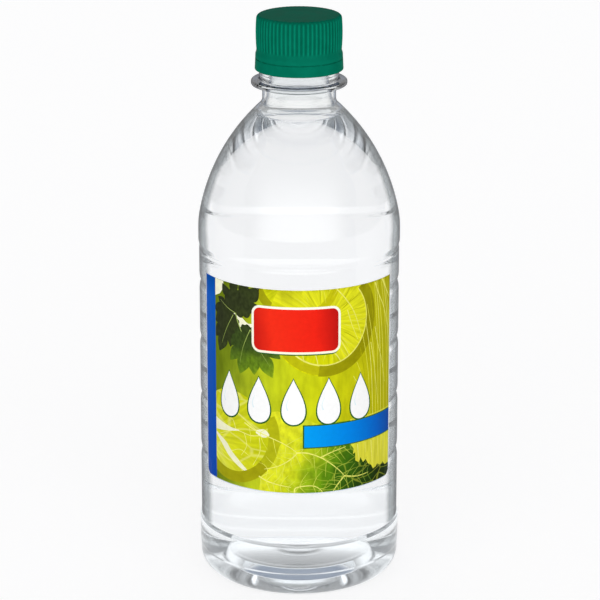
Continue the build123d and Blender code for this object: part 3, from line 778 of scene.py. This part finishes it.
def print_ink(name, stops, direction=(1, 0), start=0.0, end=1.0, warp=0.0, warp_scale=8.0, grain=0.06,
              grain_scale=(60.0, 60.0), turn=0.0, rough=0.42, hub=None, web=None):
    """A printed ink: its stops run along a direction of the label from start to end millimetres, pushed about by
    noise, with a finer grain over them and a faint paper grain in its surface. With a hub the grain runs out from that
    spot, as in fruit flesh. A web is a net of paler lines: (cells across 100 mm, line width, colour, strength)."""
    mat, node, tree = material(name, Roughness=rough, IOR=1.46, Specular_IOR_Level=0.015)

    def add(kind, **values):
        new = tree.nodes.new("ShaderNode" + kind)
        for key, value in values.items():
            setattr(new, key, value)
        return new

    where = add("UVMap", uv_map="print")
    if hub:
        # turn into (angle, distance) round the hub, so that the grain is drawn out along the spokes
        from_hub = add("VectorMath", operation="SUBTRACT")
        from_hub.inputs[1].default_value = (hub[0] / 100, hub[1] / 100, 0)
        tree.links.new(where.outputs["UV"], from_hub.inputs[0])
        parts = add("SeparateXYZ")
        tree.links.new(from_hub.outputs["Vector"], parts.inputs["Vector"])
        angle = add("Math", operation="ARCTAN2")
        tree.links.new(parts.outputs["Y"], angle.inputs[0])
        tree.links.new(parts.outputs["X"], angle.inputs[1])
        reach = add("VectorMath", operation="LENGTH")
        tree.links.new(from_hub.outputs["Vector"], reach.inputs[0])
        polar = add("CombineXYZ")
        tree.links.new(angle.outputs["Value"], polar.inputs["X"])
        tree.links.new(reach.outputs["Value"], polar.inputs["Y"])
        base_coords = polar.outputs["Vector"]
    else:
        base_coords = where.outputs["UV"]
    place = add("Mapping")
    place.inputs["Rotation"].default_value = (0, 0, math.radians(turn))
    place.inputs["Scale"].default_value = (grain_scale[0], grain_scale[1], 1)
    fine = add("TexNoise")
    fine.inputs["Scale"].default_value = 1.0
    fine.inputs["Detail"].default_value = 3.0
    tree.links.new(base_coords, place.inputs["Vector"])
    tree.links.new(place.outputs["Vector"], fine.inputs["Vector"])
    broad = add("TexNoise")
    broad.inputs["Scale"].default_value = warp_scale
    broad.inputs["Detail"].default_value = 2.0
    tree.links.new(where.outputs["UV"], broad.inputs["Vector"])
    along = add("VectorMath", operation="DOT_PRODUCT")
    length = math.hypot(*direction)
    along.inputs[1].default_value = (100 * direction[0] / length, 100 * direction[1] / length, 0)
    tree.links.new(where.outputs["UV"], along.inputs[0])
    push = add("Math", operation="MULTIPLY_ADD")
    push.inputs[1].default_value = warp * 2
    tree.links.new(broad.outputs["Fac"], push.inputs[0])
    tree.links.new(along.outputs["Value"], push.inputs[2])
    span = add("MapRange")
    span.inputs["From Min"].default_value = start + warp
    span.inputs["From Max"].default_value = end + warp
    tree.links.new(push.outputs["Value"], span.inputs["Value"])
    ramp = add("ValToRGB")
    while len(ramp.color_ramp.elements) < len(stops):
        ramp.color_ramp.elements.new(0.5)
    for i, (pos, colour) in enumerate(stops):
        ramp.color_ramp.elements[i].position = pos
        ramp.color_ramp.elements[i].color = ink_colour(colour)
    tree.links.new(span.outputs["Result"], ramp.inputs["Fac"])
    light = add("MapRange")
    light.inputs["From Min"].default_value = 0.3
    light.inputs["From Max"].default_value = 0.7
    light.inputs["To Min"].default_value = 1 - grain
    light.inputs["To Max"].default_value = 1 + grain
    tree.links.new(fine.outputs["Fac"], light.inputs["Value"])
    tint = add("VectorMath", operation="SCALE")
    tree.links.new(ramp.outputs["Color"], tint.inputs[0])
    tree.links.new(light.outputs["Result"], tint.inputs["Scale"])
    result = tint.outputs["Vector"]
    if web:
        cells, width, colour, strength = web
        bend = add("TexNoise")
        bend.inputs["Scale"].default_value = cells * 0.6
        tree.links.new(where.outputs["UV"], bend.inputs["Vector"])
        shift = add("VectorMath", operation="MULTIPLY_ADD")
        shift.inputs[1].default_value = (0.03, 0.03, 0)
        tree.links.new(bend.outputs["Color"], shift.inputs[0])
        tree.links.new(where.outputs["UV"], shift.inputs[2])
        stretch = add("Mapping")
        stretch.inputs["Rotation"].default_value = (0, 0, math.radians(turn))
        stretch.inputs["Scale"].default_value = (cells * 0.62, cells * 1.25, 1)
        tree.links.new(shift.outputs["Vector"], stretch.inputs["Vector"])
        net = add("TexVoronoi", feature="DISTANCE_TO_EDGE")
        net.inputs["Scale"].default_value = 1.0
        tree.links.new(stretch.outputs["Vector"], net.inputs["Vector"])
        edge = add("MapRange")
        edge.inputs["From Min"].default_value = width * 0.25
        edge.inputs["From Max"].default_value = width
        edge.inputs["To Min"].default_value = strength
        edge.inputs["To Max"].default_value = 0.0
        tree.links.new(net.outputs["Distance"], edge.inputs["Value"])
        blend = add("Mix", data_type="RGBA")
        blend.inputs["B"].default_value = ink_colour(colour)
        tree.links.new(edge.outputs["Result"], blend.inputs["Factor"])
        tree.links.new(result, blend.inputs["A"])
        result = blend.outputs["Result"]
    tree.links.new(result, node.inputs["Base Color"])
    paper_grain = add("TexNoise")
    paper_grain.inputs["Scale"].default_value = 400.0
    paper_grain.inputs["Detail"].default_value = 2.0
    tree.links.new(where.outputs["UV"], paper_grain.inputs["Vector"])
    bump = add("Bump")
    bump.inputs["Strength"].default_value = 0.12
    bump.inputs["Distance"].default_value = 0.00003
    tree.links.new(paper_grain.outputs["Fac"], bump.inputs["Height"])
    tree.links.new(bump.outputs["Normal"], node.inputs["Normal"])
    return mat


printed = {
    "field": print_ink("print_field", [
        (0.0, (98, 116, 12)), (0.14, (122, 140, 26)), (0.26, (176, 188, 30)), (0.55, (190, 196, 18)), (0.8, (178, 176, 12)),
        (1.0, (166, 162, 10)),
    ], (1, -0.05), 5, 75, 6, 9, 0.14, (40, 12), 9),
    "flesh": print_ink("print_flesh", [
        (0.0, (186, 190, 12)), (0.4, (202, 204, 14)), (0.72, (194, 196, 10)), (1.0, (208, 208, 30)),
    ], (0.4, 1), 40, 72, 26, 13, 0.22, (13, 9), 0, hub=S1),
    "flesh_back": print_ink("print_flesh_back", [
        (0.0, (194, 198, 14)), (0.5, (202, 206, 26)), (1.0, (194, 198, 16)),
    ], (1, 0), 26, 50, 8, 13, 0.16, (13, 9), 0, hub=S2),
    "flesh_low": print_ink("print_flesh_low", [
        (0.0, (216, 216, 104)), (0.3, (206, 209, 50)), (0.6, (200, 203, 30)), (1.0, (188, 194, 20)),
    ], (1, 0.6), 4, 34, 12, 13, 0.20, (11, 8), 20, hub=(2.0, 15.0), web=(11, 0.045, (228, 226, 130), 0.4)),
    "stalk": print_ink("print_stalk", [
        (0.0, (150, 154, 12)), (0.4, (186, 184, 18)), (0.7, (174, 172, 14)), (1.0, (204, 200, 56)),
    ], (1, 0.3), 0, 24, 26, 16, 0.14, (90, 7), 9),
    "rind": print_ink("print_rind", [
        (0.0, (152, 150, 14)), (0.5, (136, 132, 2)), (1.0, (126, 128, 4)),
    ], (1, -0.4), 20, 70, 8, 10, 0.10, (40, 40)),
    "rind_soft": print_ink("print_rind_soft", [
        (0.0, (166, 170, 22)), (0.5, (170, 170, 16)), (1.0, (186, 182, 14)),
    ], (0.2, 1), 10, 72, 8, 10, 0.10, (36, 36)),
    "pith": print_ink("print_pith", [(0.0, (208, 210, 52)), (1.0, (214, 212, 72))], (1, 0), 0, 76, 4),
    "glint": print_ink("print_glint", [(0.0, (226, 226, 124)), (1.0, (218, 216, 96))], (1, 0.2), 0, 76, 6, 8, 0.10, (50, 50)),
    "deep": print_ink("print_deep", [(0.0, (176, 180, 16)), (1.0, (164, 160, 6))], (1, 0), 0, 76, 4),
    "leaf": print_ink("print_leaf", [
        (0.0, (206, 209, 36)), (0.16, (198, 204, 30)), (0.32, (134, 162, 22)), (0.46, (92, 134, 16)),
        (0.62, (56, 98, 14)), (0.80, (38, 66, 14)), (1.0, (26, 42, 10)),
    ], (1, -0.42), 24, 62, 6, 10, 0.22, (50, 30), -24, web=(20, 0.045, (196, 206, 66), 0.30)),
    "cream": print_ink("print_cream", [(0.0, (226, 226, 190)), (1.0, (240, 236, 208))], (0.5, 1), 0, 70, 20, 20, 0.05),
    "vein": print_ink("print_vein", [(0.0, (220, 222, 84)), (0.45, (184, 198, 70)), (1.0, (96, 128, 44))], (1, -0.3), 24, 62, 4),
    "herb_dark": print_ink("print_herb", [
        (0.0, (44, 50, 28)), (0.45, (54, 64, 30)), (0.8, (68, 84, 32)), (1.0, (86, 108, 40)),
    ], (0.6, -0.3), -20, 20, 16, 18, 0.25, (90, 60), 20),
    "herb_mid": print_ink("print_herb_low", [
        (0.0, (132, 156, 28)), (0.18, (96, 126, 26)), (0.5, (58, 78, 28)), (1.0, (46, 56, 30)),
    ], (-0.15, 1), 36, 56, 5, 18, 0.25, (90, 60), 20),
    "herb_vein": print_ink("print_herb_vein", [(0.0, (128, 150, 60)), (1.0, (156, 176, 92))], (0, 1), 40, 62, 2),
    "outline": print_ink("print_outline", [(0.0, (34, 84, 40)), (1.0, (46, 98, 30))], (1, 0), 0, 76, 4, 8, 0.1),
    "white": print_ink("print_white", [(0.0, (236, 240, 242)), (1.0, (246, 247, 247))], (0.3, 1), 20, 46, 5, 20, 0.02),
    "tint": print_ink("print_tint", [(0.0, (206, 224, 230)), (1.0, (226, 236, 240))], (0, 1), 25, 40, 2, 8, 0.02),
    "badge_edge": print_ink("print_badge_edge", [(0.0, (250, 236, 214)), (1.0, (252, 244, 226))], (0, 1), 50, 66, 2, 8, 0.02),
    "badge": print_ink("print_badge", [
        (0.0, (186, 26, 20)), (0.22, (230, 44, 24)), (0.72, (226, 34, 20)), (1.0, (172, 20, 18)),
    ], (1, 0.12), 30, 60, 2, 10, 0.03),
    "banner": print_ink("print_banner", [
        (0.0, (4, 148, 228)), (0.45, (2, 124, 214)), (0.8, (4, 92, 186)), (1.0, (6, 66, 150)),
    ], (1, 0), 41, 76, 1, 10, 0.03),
    "stripe": print_ink("print_stripe", [(0.0, (3, 66, 164)), (0.6, (3, 78, 174)), (1.0, (3, 86, 184))], (0, 1), 0, 71, 3, 10, 0.03),
    "edge": print_ink("print_edge", [(0.0, (206, 214, 224)), (1.0, (222, 228, 232))], (0, 1), 0, 71, 5, 10, 0.03),
}
paper, p_node, p_tree = material("label_back", Base_Color=(0.86, 0.87, 0.86, 1), Roughness=0.6)
fibre = p_tree.nodes.new("ShaderNodeTexNoise")
fibre.inputs["Scale"].default_value = 900.0
fibre.inputs["Detail"].default_value = 4.0
p_where = p_tree.nodes.new("ShaderNodeTexCoord")
p_tree.links.new(p_where.outputs["Object"], fibre.inputs["Vector"])
fibre_ramp = p_tree.nodes.new("ShaderNodeValToRGB")
fibre_ramp.color_ramp.elements[0].position = 0.3
fibre_ramp.color_ramp.elements[0].color = (0.90, 0.91, 0.93, 1)
fibre_ramp.color_ramp.elements[1].position = 0.7
fibre_ramp.color_ramp.elements[1].color = (0.95, 0.96, 0.98, 1)
p_tree.links.new(fibre.outputs["Fac"], fibre_ramp.inputs["Fac"])
p_tree.links.new(fibre_ramp.outputs["Color"], p_node.inputs["Base Color"])
# painted light: the back glows, blue behind the stripe and yellow-green behind the rest, in place of light coming
# through the thin paper from the front
p_uv = p_tree.nodes.new("ShaderNodeUVMap")
p_uv.uv_map = "print"
p_split = p_tree.nodes.new("ShaderNodeSeparateXYZ")
p_tree.links.new(p_uv.outputs["UV"], p_split.inputs["Vector"])
through = p_tree.nodes.new("ShaderNodeMapRange")
through.inputs["From Min"].default_value = 0.060
through.inputs["From Max"].default_value = 0.070
p_tree.links.new(p_split.outputs["X"], through.inputs["Value"])
painted_back_glow = p_tree.nodes.new("ShaderNodeValToRGB")
painted_back_glow.color_ramp.elements[0].color = (0.38, 0.41, 0.46, 1)
painted_back_glow.color_ramp.elements[1].color = (0.455, 0.462, 0.450, 1)
p_tree.links.new(through.outputs["Result"], painted_back_glow.inputs["Fac"])
# painted light: the glow colour of the paper's back
p_tree.links.new(painted_back_glow.outputs["Color"], p_node.inputs["Emission Color"])
p_node.inputs["Emission Strength"].default_value = 1.0
label.data.materials.append(paper)
slots = {}
for kind, mat in printed.items():
    slots[kind] = len(label.data.materials)
    label.data.materials.append(mat)
for i, kind in enumerate(tags):
    label.data.polygons[i].material_index = slots[kind]
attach(label, "root")
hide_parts("front_label")

# ---------------------------------------------------------------- cap
def cap_line():
    """The cap's section, from the middle of its top down the outside and back up the inside."""
    edge_r = CAP_HIGH_R - 0.02
    out = [(0, CAP_TOP), (6, CAP_TOP), (11, CAP_TOP), (edge_r - CAP_EDGE - 0.5, CAP_TOP)]
    out += [(edge_r - CAP_EDGE * (1 - math.sin(t)), CAP_TOP - CAP_EDGE * (1 - math.cos(t)))
            for t in (math.radians(90 * i / 10) for i in range(11))]
    side = three_point((CAP_WAIST_R, CAP_WAIST_Z), (CAP_BELLY_R, CAP_BELLY_Z), (CAP_HIGH_R, CAP_HIGH_Z), 22)[::-1]
    out += side[:-1]
    out += rounded([
        side[-1] + (0,), (CAP_WAIST_R, CAP_WAIST_Z - 0.1, 1.5), (SLIT_R - 0.02, SLIT_Z + SLIT_H + 1.3, 0.9),
        (SLIT_R + 0.02, SLIT_Z + SLIT_H, 0.10), (SLIT_R - 0.28, SLIT_Z + SLIT_H, 0.02), (SLIT_R - 0.28, SLIT_Z, 0.02),
        (SLIT_R + 0.04, SLIT_Z, 0.12), (CAP_LOW_R, CAP_LOW, 0.22), (BAND_BORE_R + 0.02, CAP_LOW, 0.15),
        (BAND_BORE_R, CAP_LOW + 0.5, 0),
    ], 4)[1:]
    out += [
        (BAND_LIP_R, BEAD_NECK_Z - 1.3), (BAND_LIP_R, BEAD_NECK_Z - 0.9), (BAND_BORE_R, BEAD_NECK_Z - 0.7),
        (BAND_BORE_R, SLIT_Z - 0.35), (SKIRT_BORE_R, SLIT_Z - 0.2), (SKIRT_BORE_R, NECK_TOP), (PLUG_R, NECK_TOP),
        (PLUG_R, NECK_TOP - PLUG_H + 0.5), (PLUG_R - 0.25, NECK_TOP - PLUG_H), (PLUG_R - PLUG_T, NECK_TOP - PLUG_H),
        (PLUG_R - PLUG_T, NECK_TOP), (0, NECK_TOP),
    ]
    return out[::-1]


def cap_wave(r, z, turn):
    """Finger ribs round the cap's side, and the thin bridges across the slit."""
    if r > CAP_WAIST_R - 1.4 and z > CAP_WAIST_Z + 0.2:
        crest = (0.5 + 0.5 * math.cos(RIBS * turn)) ** 1.7
        fade = min(1, max(0, (z - CAP_WAIST_Z - 0.2) / 0.9)) * min(1, max(0, (r - CAP_HIGH_R + 1.25) / 0.5))
        return r - RIB_DEPTH * (1 - crest) * fade
    if SLIT_Z - 0.01 < z < SLIT_Z + SLIT_H + 0.01 and SLIT_R - 0.5 < r < SLIT_R - 0.1:
        off = abs((turn * BRIDGES / (2 * math.pi) + 0.5) % 1 - 0.5) * 2 * math.pi / BRIDGES * r
        if off < BRIDGE_WIDTH / 2:
            return SLIT_R - 0.06
    return r


cap = revolve("cap_shell", cap_line(), RIBS * 12, cap_wave)
cap.data.materials.append(green)
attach(cap, "root")
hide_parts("cap")

# ---------------------------------------------------------------- stage
floor_mat, f_node, f_tree = material(
    "floor_white", Base_Color=(0.42, 0.42, 0.42, 1), Roughness=0.9, Specular_IOR_Level=0.0,
    Emission_Color=(1, 1, 1, 1), Emission_Strength=1.0,
)
# the floor glows evenly, with a painted shadow under the bottle where its glow falls to a dark blue-grey
where = f_tree.nodes.new("ShaderNodeTexCoord")
flat = f_tree.nodes.new("ShaderNodeVectorMath")
flat.operation = "LENGTH"
shade = f_tree.nodes.new("ShaderNodeMapRange")
shade.interpolation_type = "SMOOTHSTEP"
shade.inputs["From Min"].default_value = 0.017
shade.inputs["From Max"].default_value = 0.027
glow = f_tree.nodes.new("ShaderNodeValToRGB")
# painted shadow colour under the bottle, then the floor's even glow beyond it
glow.color_ramp.elements[0].color = (0.09, 0.13, 0.21, 1)
glow.color_ramp.elements[1].color = (0.79, 0.79, 0.795, 1)
f_tree.links.new(where.outputs["Object"], flat.inputs[0])
f_tree.links.new(flat.outputs["Value"], shade.inputs["Value"])
f_tree.links.new(shade.outputs["Result"], glow.inputs["Fac"])
f_tree.links.new(glow.outputs["Color"], f_node.inputs["Emission Color"])
floor = revolve("floor", [(0, -0.02), (12000, -0.02)], 64)
floor.data.materials.append(floor_mat)

world = bpy.data.worlds.new("studio")
bpy.context.scene.world = world
world.use_nodes = True
wt = world.node_tree
bg = wt.nodes["Background"]
coords = wt.nodes.new("ShaderNodeTexCoord")
split = wt.nodes.new("ShaderNodeSeparateXYZ")
sky = wt.nodes.new("ShaderNodeValToRGB")
wt.links.new(coords.outputs["Generated"], split.inputs["Vector"])
wt.links.new(split.outputs["Z"], sky.inputs["Fac"])
# two dark flags, one each side, give the clear edges something to show
side = wt.nodes.new("ShaderNodeMath")
side.operation = "ABSOLUTE"
wt.links.new(split.outputs["X"], side.inputs[0])
flag = wt.nodes.new("ShaderNodeMapRange")
flag.interpolation_type = "SMOOTHSTEP"
flag.inputs["From Min"].default_value = 0.60
flag.inputs["From Max"].default_value = 0.92
flag.inputs["To Min"].default_value = 1.0
flag.inputs["To Max"].default_value = 0.30
wt.links.new(side.outputs["Value"], flag.inputs["Value"])
dim = wt.nodes.new("ShaderNodeVectorMath")
dim.operation = "SCALE"
# and a broad soft light in front
front_light = wt.nodes.new("ShaderNodeMapRange")
front_light.interpolation_type = "SMOOTHSTEP"
front_light.inputs["From Min"].default_value = -1.0
front_light.inputs["From Max"].default_value = -0.40
front_light.inputs["To Min"].default_value = 2.3
front_light.inputs["To Max"].default_value = 1.0
wt.links.new(split.outputs["Y"], front_light.inputs["Value"])
both = wt.nodes.new("ShaderNodeMath")
both.operation = "MULTIPLY"
wt.links.new(flag.outputs["Result"], both.inputs[0])
wt.links.new(front_light.outputs["Result"], both.inputs[1])
wt.links.new(sky.outputs["Color"], dim.inputs[0])
wt.links.new(both.outputs["Value"], dim.inputs["Scale"])
wt.links.new(dim.outputs["Vector"], bg.inputs["Color"])
sky.color_ramp.elements[0].position = 0.0
sky.color_ramp.elements[0].color = (1, 1, 1, 1)
sky.color_ramp.elements[1].position = 1.0
sky.color_ramp.elements[1].color = (0.03, 0.03, 0.03, 1)
high_sky = sky.color_ramp.elements.new(0.65)
high_sky.color = (0.42, 0.42, 0.42, 1)
mid_sky = sky.color_ramp.elements.new(0.35)
mid_sky.color = (0.95, 0.95, 0.95, 1)
bg.inputs["Strength"].default_value = 1.0

# ---------------------------------------------------------------- camera
ELEVATION, DISTANCE, TARGET_Z = math.radians(17.7), 0.952, 0.0962
cam_data = bpy.data.cameras.new("camera")
cam_data.lens = 168.0
cam_data.sensor_width = 36.0
camera = bpy.data.objects.new("camera", cam_data)
bpy.context.scene.collection.objects.link(camera)
camera.location = (0.00029, -DISTANCE * math.cos(ELEVATION), TARGET_Z + DISTANCE * math.sin(ELEVATION))
camera.rotation_euler = (math.pi / 2 - ELEVATION, 0, 0)
bpy.context.scene.camera = camera
bpy.context.scene.view_settings.view_transform = "Standard"
bpy.context.scene.cycles.max_bounces = 24
bpy.context.scene.cycles.transmission_bounces = 24
bpy.context.scene.cycles.glossy_bounces = 8
